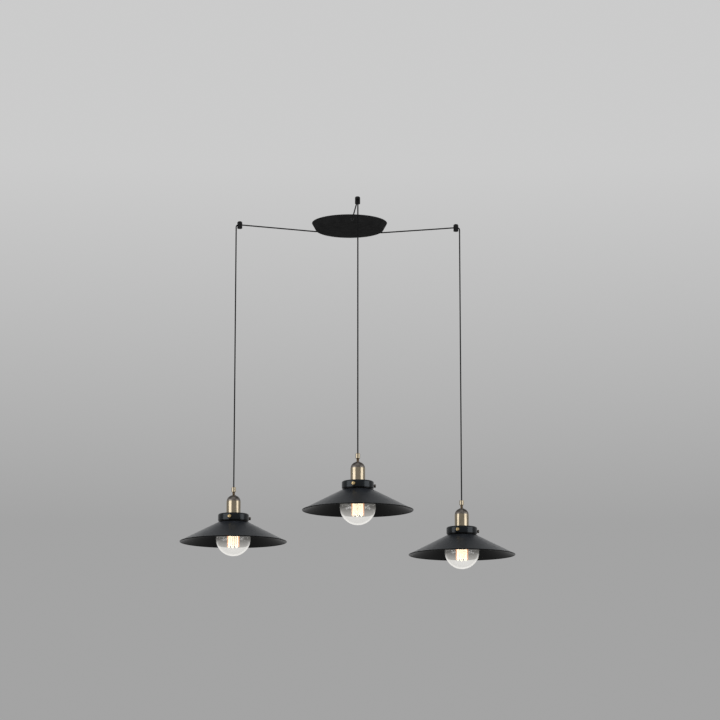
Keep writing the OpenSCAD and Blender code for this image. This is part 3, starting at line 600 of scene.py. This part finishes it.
for side, lamp in lamps.items():
    wall = HalfSection(sleeve_inner_r, cap_low)
    wall.to((sleeve_r - soft_edge, cap_low), (sleeve_r, cap_low - soft_edge), (sleeve_r, sleeve_low))
    wall.to((tail_r, sleeve_low), (tail_r, tail_low), (tail_bore_r, tail_low), (tail_bore_r, seat_level))
    wall.to((sleeve_inner_r, seat_level)).close()
    tube = wall.spun(place=lamp)
    sleeve = piece_from(f"{side}_sleeve_tube", tube, aged_brass, f"{side}_lamp")
    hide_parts(f"{side}_holder_sleeve")

# Shade holders: spun steel cups with a rounded shoulder, in a smooth blue-black coat.
# Each sits under its sleeve's shoulder, and three small bosses in its wall take the thumb screws.
holder_coat, holder_coat_shader = finish_named("holder_coat")
holder_coat_shader.inputs["Specular IOR Level"].default_value = 0.30
holder_coat_shader.inputs["Specular Tint"].default_value = (0.84, 0.93, 1.0, 1)
tint(holder_coat, mottle(holder_coat, 45), (0.0022, 0.0026, 0.0031), (0.0038, 0.0044, 0.0052))
sheen_between(holder_coat, mottle(holder_coat, 130), 0.17, 0.23)
texture_height(holder_coat, mottle(holder_coat, 1500), 0.00002)

holder_r = 0.0425
holder_low = -0.093
holder_sheet = 0.0012
holder_edge_r = 0.004
holder_hole_r = 0.01805
thumb_turns = (-104, 16, 136)
thumb_level = -0.0855
thumb_boss_r = 0.0025
thumb_boss_out = 0.0435
holder_inner_r = holder_r - holder_sheet
thumb_boss_in = holder_r - holder_sheet / 2
shoulder = (holder_r - holder_edge_r, sleeve_low - holder_edge_r)

for side, lamp in lamps.items():
    cup = HalfSection(holder_hole_r, sleeve_low)
    cup.to((shoulder[0], sleeve_low)).curve(shoulder, 90, steps=8)
    cup.to((holder_r, holder_low), (holder_inner_r, holder_low), (holder_inner_r, shoulder[1]))
    cup.curve(shoulder, -90, steps=8).to((holder_hole_r, sleeve_low - holder_sheet)).close()
    bowl = cup.spun(steps=128, place=lamp)
    holder = piece_from(f"{side}_holder_cup", bowl, holder_coat, f"{side}_lamp")
    for turn in thumb_turns:
        outwards = facing_out(lamp, turn, thumb_boss_in, thumb_level)
        boss = rod(thumb_boss_r, thumb_boss_out - thumb_boss_in, outwards, segments=40)
        carve(holder, boss, "UNION")
    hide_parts(f"{side}_shade_holder")

# Thumb screws: short screws with grooved heads that press on the shade's collar.
# The three are the same brass; the front one gets a brighter brass as painted light, the other two the
# caps' dull bronze as painted shade.
painted_lit_brass, painted_lit_brass_shader = finish_named("painted_lit_brass")
painted_lit_brass_shader.inputs["Metallic"].default_value = 1.0
tint(painted_lit_brass, mottle(painted_lit_brass, 300), (0.50, 0.375, 0.185), (0.60, 0.455, 0.235))
sheen_between(painted_lit_brass, mottle(painted_lit_brass, 600), 0.24, 0.34)
texture_height(painted_lit_brass, mottle(painted_lit_brass, 2500), 0.000004)

thumb_tip = 0.0413
thumb_r = 0.0015
thumb_head_start = 0.045
thumb_head_r = 0.0045
thumb_head_t = 0.004
head_edge = 0.0006
grooves = 28
groove_depth = 0.0003
groove_wall = 0.00008
upright_within = 0.01

for side, lamp in lamps.items():
    for number, turn in enumerate(thumb_turns, start=1):
        shank = HalfSection(0, thumb_tip)
        level = thumb_tip
        while level < thumb_head_start:
            shank.to((thumb_r - thread_depth, level), (thumb_r, level + thread_step / 2))
            level += thread_step
        shank.to((thumb_r - thread_depth, level), (0, level))
        screw = shank.spun(steps=32)
        head = bmesh.new()
        bmesh.ops.create_cone(head, cap_ends=True, segments=2 * grooves, radius1=thumb_head_r,
                              radius2=thumb_head_r, depth=thumb_head_t)
        rims = [e for e in head.edges if abs(e.verts[0].co.z - e.verts[1].co.z) < weld_gap]
        bmesh.ops.bevel(head, geom=rims, offset=head_edge, affect="EDGES", segments=3, profile=0.5,
                        material=-1)
        walls = [f for f in head.faces if abs(f.normal.z) < upright_within]
        walls.sort(key=lambda f: math.atan2(f.calc_center_median().y, f.calc_center_median().x))
        bmesh.ops.inset_individual(head, faces=walls[::2], thickness=groove_wall, depth=-groove_depth)
        bmesh.ops.translate(head, vec=(0, 0, thumb_head_start + thumb_head_t / 2), verts=head.verts)
        take_in(screw, head)
        screw.transform(facing_out(lamp, turn, 0, thumb_level))
        # Painted light: brighter brass on the front screw, and the caps' dull bronze as painted shade on
        # the other two.
        painted_light_coat, slot = (painted_lit_brass, "aged_brass") if number == 1 else (dull_bronze, "bronze")
        thumb = piece_from(f"{side}_thumb_{number}_screw", screw, painted_light_coat, f"{side}_thumb_{number}")
        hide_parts(f"{side}_thumb_screw_{number}")

# Shades: flat cones spun from thin sheet, with a straight collar and a rolled bead on the rim.
# They are painted satin charcoal outside, and glossy black inside and on the bead; the collar's black is
# painted shade under the holder.
shade_out, shade_out_shader = finish_named("shade_charcoal")
shade_out_shader.inputs["Specular IOR Level"].default_value = 0.66
shade_out_shader.inputs["Specular Tint"].default_value = (0.84, 0.93, 1.0, 1)
tint(shade_out, mottle(shade_out, 18), (0.0126, 0.0145, 0.0178), (0.0180, 0.0206, 0.0252))
sheen_between(shade_out, mottle(shade_out, 90), 0.27, 0.35)
texture_height(shade_out, mottle(shade_out, 1300), 0.00004)

shade_in, shade_in_shader = finish_named("shade_inner_black")
shade_in_shader.inputs["Specular IOR Level"].default_value = 0.06
tint(shade_in, mottle(shade_in, 24), (0.0012, 0.0013, 0.0014), (0.0024, 0.0025, 0.0027))
sheen_between(shade_in, mottle(shade_in, 110), 0.07, 0.11)
texture_height(shade_in, mottle(shade_in, 1300), 0.00004)

shade_r = 0.1475
shade_sheet = 0.0009
collar_r = 0.041
collar_top = -0.081
cone_top = -0.0975
rim_level = -0.1525
collar_fillet = 0.004
bead_r = 0.0013
underside_tilt = -0.2

bead = (shade_r - bead_r, rim_level + bead_r)
cone_lean = math.atan2(cone_top - bead[1], bead[0] - (collar_r - shade_sheet / 2))
fillet_turn = 90 - math.degrees(cone_lean)
fillet = (collar_r + collar_fillet,
          cone_top + (collar_fillet + shade_sheet / 2) * math.tan(math.radians(fillet_turn) / 2))
bead_half = math.degrees(math.asin(shade_sheet / 2 / bead_r))
bead_first = math.pi - cone_lean - math.radians(bead_half)
bead_start = (bead[0] + bead_r * math.cos(bead_first), bead[1] + bead_r * math.sin(bead_first))
inner_foot = (fillet[0] - (collar_fillet + shade_sheet) * math.sin(cone_lean),
              fillet[1] - (collar_fillet + shade_sheet) * math.cos(cone_lean))

for side, lamp in lamps.items():
    sheet = HalfSection(collar_r, collar_top)
    sheet.to((collar_r, fillet[1])).curve(fillet, -fillet_turn, steps=8)
    sheet.to(bead_start).curve(bead, 360 - 2 * bead_half, steps=18)
    sheet.to(inner_foot).curve(fillet, fillet_turn, steps=8)
    sheet.to((collar_r - shade_sheet, collar_top)).close()
    cone = sheet.spun(steps=192)
    for face in cone.faces:
        away = Vector((face.calc_center_median().x, face.calc_center_median().y, 0))
        inside = face.normal.dot(away.normalized()) < 0 or face.normal.z < underside_tilt
        on_bead = away.length > bead[0] - bead_r
        # The collar and its rounded foot take the inner black as painted shade under the holder.
        collar_in_painted_shade = away.length < fillet[0]
        face.material_index = 1 if inside or on_bead or collar_in_painted_shade else 0
    cone.transform(lamp)
    shade = piece_from(f"{side}_shade_cone", cone, shade_out, f"{side}_lamp")
    shade.data.materials.append(shade_in)
    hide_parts(f"{side}_shade")

# Bulbs: clear globes blown from thin glass, with a glass stem inside and a brass screw cap.
# One filament wire runs up and down round a cage that hangs from the stem. It is lit, and it is
# cooler and more orange where its ends and its middle are held.
clear_glass, clear_glass_shader = finish_named("clear_glass")
clear_glass_shader.inputs["Transmission Weight"].default_value = 1.0
clear_glass_shader.inputs["IOR"].default_value = 1.45
clear_glass_shader.inputs["Roughness"].default_value = 0.0
clear_glass_shader.inputs["Sheen Weight"].default_value = 1.0
clear_glass_shader.inputs["Sheen Roughness"].default_value = 0.12
# The glass is no lamp but is given painted light: a faint warm painted glow that grows towards the
# bottom of the globe.
clear_glass_shader.inputs["Emission Color"].default_value = (1.0, 0.97, 0.92, 1)
tint(clear_glass, mottle(clear_glass, 30), (0.97, 0.97, 0.96), (1.0, 1.0, 0.99))
glass_nodes, glass_links = clear_glass.node_tree.nodes, clear_glass.node_tree.links
painted_glow_mark = glass_nodes.new("ShaderNodeAttribute")
painted_glow_mark.attribute_name = "painted_glow"
painted_glow = glass_nodes.new("ShaderNodeMapRange")
painted_glow.inputs["To Min"].default_value = 0.026
painted_glow.inputs["To Max"].default_value = 0.098
glass_links.new(painted_glow_mark.outputs["Fac"], painted_glow.inputs["Value"])
# Painted highlight: extra emission where the glass is seen edge on, on the lower half only, drawn as a
# bright rim.
facing = glass_nodes.new("ShaderNodeLayerWeight")
facing.inputs["Blend"].default_value = 0.5
edge = glass_nodes.new("ShaderNodeMapRange")
edge.inputs["From Min"].default_value = 0.50
edge.inputs["From Max"].default_value = 0.72
edge.inputs["To Max"].default_value = 0.11
glass_links.new(facing.outputs["Facing"], edge.inputs["Value"])
painted_glass_light = glass_nodes.new("ShaderNodeMath")
painted_glass_light.operation = "MULTIPLY_ADD"
glass_links.new(edge.outputs["Result"], painted_glass_light.inputs[0])
glass_links.new(painted_glow_mark.outputs["Fac"], painted_glass_light.inputs[1])
glass_links.new(painted_glow.outputs["Result"], painted_glass_light.inputs[2])
glass_links.new(painted_glass_light.outputs["Value"], clear_glass_shader.inputs["Emission Strength"])

lit_wire, lit_wire_shader = finish_named("lit_wire")
lit_wire_shader.inputs["Roughness"].default_value = 0.5
tint(lit_wire, mottle(lit_wire, 150), (0.5, 0.3, 0.1), (0.6, 0.4, 0.2))
wire_nodes, wire_links = lit_wire.node_tree.nodes, lit_wire.node_tree.links
heat_mark = wire_nodes.new("ShaderNodeAttribute")
heat_mark.attribute_name = "wire_heat"
heat = wire_nodes.new("ShaderNodeMapRange")
heat.inputs["To Min"].default_value = 0.38
heat.inputs["To Max"].default_value = 3.9
wire_links.new(heat_mark.outputs["Fac"], heat.inputs["Value"])
wire_links.new(heat.outputs["Result"], lit_wire_shader.inputs["Emission Strength"])
tint(lit_wire, heat_mark.outputs["Fac"], (1.0, 0.34, 0.15), (1.0, 0.84, 0.58),
     socket="Emission Color", span=(0, 1))

globe_r = 0.0475
globe_level = -0.1435
glass_t = 0.001
glass_crease = math.radians(60)
neck_r = 0.0125
neck_curve_r = 0.016
neck_top = -0.0702
plug_r = 0.0113
cap_edge = -0.080
neck_step = 0.001
stem_glass_r = 0.004
stem_flare = 0.008
stem_round = 0.001
wire_d = 0.0008
wire_roundness = 1
cage_r = 0.017
cage_half = 0.023
strands = 18
cage_phase = 0.25
hoop = 0.0025
lead_r = 0.0028
stem_over = 0.004
painted_glow_reach = 0.024
cool_from = 0.74
cool_to = 0.90

neck_centre_r = neck_r + neck_curve_r
neck_level = globe_level + math.sqrt((globe_r + neck_curve_r) ** 2 - neck_centre_r ** 2)
neck_centre = (neck_centre_r, neck_level)
neck_turn = math.degrees(math.atan2(neck_level - globe_level, neck_centre_r))
neck_shoulder = cap_edge - 2 * neck_step
stem_tip = globe_level + cage_half + stem_over
lead_level = stem_tip - wire_d / 2
top_level = globe_level + cage_half
low_level = globe_level - cage_half


def on_cage(step, level):
    """A point on the filament's cage, at a strand or between two."""
    a = math.tau * (step + cage_phase) / strands
    return Vector((cage_r * math.cos(a), cage_r * math.sin(a), level))


for side, lamp in lamps.items():
    blown = HalfSection(0, globe_level - globe_r + glass_t)
    blown.curve((0, globe_level), -90 - neck_turn, steps=40).curve(neck_centre, neck_turn, steps=10)
    blown.to((neck_r - glass_t, neck_shoulder), (plug_r - glass_t, cap_edge - neck_step))
    blown.to((plug_r - glass_t, neck_top), (plug_r, neck_top), (plug_r, cap_edge - neck_step / 2))
    blown.to((neck_r, cap_edge - 1.5 * neck_step), (neck_r, neck_level))
    blown.curve(neck_centre, -neck_turn, steps=10).curve((0, globe_level), 90 + neck_turn, steps=40)
    glass = blown.spun(steps=128, place=lamp)
    globe = piece_from(f"{side}_bulb_globe", glass, clear_glass, f"{side}_bulb")
    globe.data.set_sharp_from_angle(angle=glass_crease)
    # Marks for the painted glow: none above the globe's middle, full a little below it.
    marks = globe.data.attributes.new("painted_glow", "FLOAT", "POINT")
    middle = lamp.translation.z + globe_level
    for point, mark in zip(globe.data.vertices, marks.data):
        mark.value = min(1, max(0, (middle - point.co.z) / painted_glow_reach))
    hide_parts(f"{side}_bulb_glass")

    drawn_stem = HalfSection(0, neck_shoulder)
    drawn_stem.to((plug_r - 2 * glass_t, neck_shoulder), (stem_glass_r, cap_edge - stem_flare))
    drawn_stem.to((stem_glass_r, stem_tip + stem_round))
    drawn_stem.curve((stem_glass_r - stem_round, stem_tip + stem_round), 90, steps=5).to((0, stem_tip))
    stem_glass = drawn_stem.spun(steps=48, place=lamp)
    piece_from(f"{side}_bulb_stem", stem_glass, clear_glass, f"{side}_bulb")
    dress(f"{side}_bulb_cap", bare_brass)

    first, last = on_cage(0, 0).normalized() * lead_r, on_cage(strands - 1, 0).normalized() * lead_r
    wire = [first + Vector((0, 0, lead_level))]
    for step in range(strands):
        ends = [on_cage(step, top_level - hoop), on_cage(step, low_level + hoop)]
        if step % 2 == 0:
            wire += ends + [on_cage(step + 0.5, low_level)]
        else:
            wire += ends[::-1] + ([on_cage(step + 0.5, top_level)] if step < strands - 1 else [])
    wire.append(last + Vector((0, 0, lead_level)))
    line = bpy.data.curves.new(f"{side}_wire", "CURVE")
    line.dimensions = "3D"
    run = line.splines.new("POLY")
    run.points.add(len(wire) - 1)
    for point, place in zip(run.points, wire):
        point.co = (*(lamp @ place), 1)
    wound = thickened(set_out(f"{side}_wire", line), wire_d / 2, wire_roundness, lit_wire)
    filament = set_out(f"{side}_filament_wire", wound)
    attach(filament, f"{side}_bulb")
    marks = filament.data.attributes.new("wire_heat", "FLOAT", "POINT")
    upright = lamp.inverted()
    for point, mark in zip(filament.data.vertices, marks.data):
        sideways = abs((upright @ point.co).x) / cage_r
        mark.value = min(1, max(0, (cool_to - sideways) / (cool_to - cool_from)))
    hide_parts(f"{side}_filament")

# Studio: a pale floor that shows from above, soft grey surroundings and large soft lamps.
# The camera stands below the lamps and looks up a little, as in the photograph.
floor_level = -1.8
floor_half = 8.0
floor_fade = (1.4, 3.8)
haze_grey = (0.37, 0.37, 0.37, 1)
floor_mesh = bmesh.new()
bmesh.ops.create_grid(floor_mesh, x_segments=1, y_segments=1, size=floor_half)
bmesh.ops.translate(floor_mesh, vec=(0, 0, floor_level), verts=floor_mesh.verts)
floor_data = bpy.data.meshes.new("floor")
floor_mesh.to_mesh(floor_data)
floor_mesh.free()
floor = set_out("floor", floor_data)
floor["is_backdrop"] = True
pale_floor, pale_floor_shader = finish_named("pale_floor")
pale_floor_shader.inputs["Base Color"].default_value = (0.62, 0.62, 0.61, 1)
pale_floor_shader.inputs["Roughness"].default_value = 0.8
floor_nodes, floor_links = pale_floor.node_tree.nodes, pale_floor.node_tree.links


def looked_at(tree):
    """One for the rays that the camera, gloss and glass send out, nought for those that light things."""
    path = tree.nodes.new("ShaderNodeLightPath")
    chosen = path.outputs["Is Camera Ray"]
    for kind in ("Is Glossy Ray", "Is Transmission Ray"):
        either = tree.nodes.new("ShaderNodeMath")
        either.operation = "MAXIMUM"
        tree.links.new(chosen, either.inputs[0])
        tree.links.new(path.outputs[kind], either.inputs[1])
        chosen = either.outputs["Value"]
    return chosen


place = floor_nodes.new("ShaderNodeTexCoord")
reach = floor_nodes.new("ShaderNodeVectorMath")
reach.operation = "LENGTH"
far_off = floor_nodes.new("ShaderNodeMapRange")
far_off.inputs["From Min"].default_value = floor_fade[0]
far_off.inputs["From Max"].default_value = floor_fade[1]
faded = floor_nodes.new("ShaderNodeMath")
faded.operation = "MULTIPLY"
haze = floor_nodes.new("ShaderNodeEmission")
haze.inputs["Color"].default_value = haze_grey
fading = floor_nodes.new("ShaderNodeMixShader")
floor_links.new(place.outputs["Object"], reach.inputs[0])
floor_links.new(reach.outputs["Value"], far_off.inputs["Value"])
floor_links.new(far_off.outputs["Result"], faded.inputs[0])
floor_links.new(looked_at(pale_floor.node_tree), faded.inputs[1])
floor_links.new(faded.outputs["Value"], fading.inputs["Fac"])
floor_links.new(pale_floor_shader.outputs["BSDF"], fading.inputs[1])
floor_links.new(haze.outputs["Emission"], fading.inputs[2])

from_below = floor_nodes.new("ShaderNodeNewGeometry")
clear_side = floor_nodes.new("ShaderNodeBsdfTransparent")
one_sided = floor_nodes.new("ShaderNodeMixShader")
floor_links.new(from_below.outputs["Backfacing"], one_sided.inputs["Fac"])
floor_links.new(fading.outputs["Shader"], one_sided.inputs[1])
floor_links.new(clear_side.outputs["BSDF"], one_sided.inputs[2])
floor_links.new(one_sided.outputs["Shader"], floor_nodes["Material Output"].inputs["Surface"])
floor_data.materials.append(pale_floor)

surround = bpy.data.worlds.new("studio")
bpy.context.scene.world = surround
surround.use_nodes = True
sky, sky_links = surround.node_tree.nodes, surround.node_tree.links
fill = sky["Background"]
fill.inputs["Color"].default_value = (0.46, 0.46, 0.46, 1)
direction = sky.new("ShaderNodeTexCoord")
height = sky.new("ShaderNodeSeparateXYZ")
pale = sky.new("ShaderNodeValToRGB")
greys = ((0.12, 0.37), (0.26, 0.60), (0.42, 0.60), (0.75, 0.12))
pale.color_ramp.elements.remove(pale.color_ramp.elements[1])
for number, (rise, grey) in enumerate(greys):
    stop = pale.color_ramp.elements.new(rise) if number else pale.color_ramp.elements[0]
    stop.position = rise
    stop.color = (grey, grey, grey, 1)
seen = sky.new("ShaderNodeBackground")
blend = sky.new("ShaderNodeMixShader")
sky_links.new(direction.outputs["Generated"], height.inputs["Vector"])
sky_links.new(height.outputs["Z"], pale.inputs["Fac"])
sky_links.new(pale.outputs["Color"], seen.inputs["Color"])
sky_links.new(looked_at(surround.node_tree), blend.inputs["Fac"])
sky_links.new(fill.outputs["Background"], blend.inputs[1])
sky_links.new(seen.outputs["Background"], blend.inputs[2])
sky_links.new(blend.outputs["Shader"], sky["World Output"].inputs["Surface"])

soft_lamps = {
    "lamp_left": ((-3.55, -2.2, -0.3), (3.4, 2.8), 65.0),
    "lamp_right": ((3.8, -1.7, -0.3), (3.0, 2.8), 54.0),
    "lamp_above": ((0.0, -1.6, 3.2), (4.0, 4.0), 36.0)}
aim = Vector((0, 0, -0.6))
for name, (place, size, watts) in soft_lamps.items():
    light = bpy.data.lights.new(name, "AREA")
    light.shape = "RECTANGLE"
    light.size, light.size_y = size
    light.energy = watts
    soft_lamp = set_out(name, light)
    soft_lamp.location = place
    soft_lamp.rotation_euler = (aim - Vector(place)).to_track_quat("-Z", "Y").to_euler()
    soft_lamp.visible_camera = False

bpy.context.scene.view_settings.view_transform = "Standard"
camera_data = bpy.data.cameras.new("camera")
camera_data.lens = 124.5
camera_data.sensor_width = 36.0
camera = set_out("camera", camera_data)
camera.location = (0.0296, -6.845, -1.6815)
camera.rotation_euler = (math.radians(100.66), 0, 0)
bpy.context.scene.camera = camera

low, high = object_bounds()
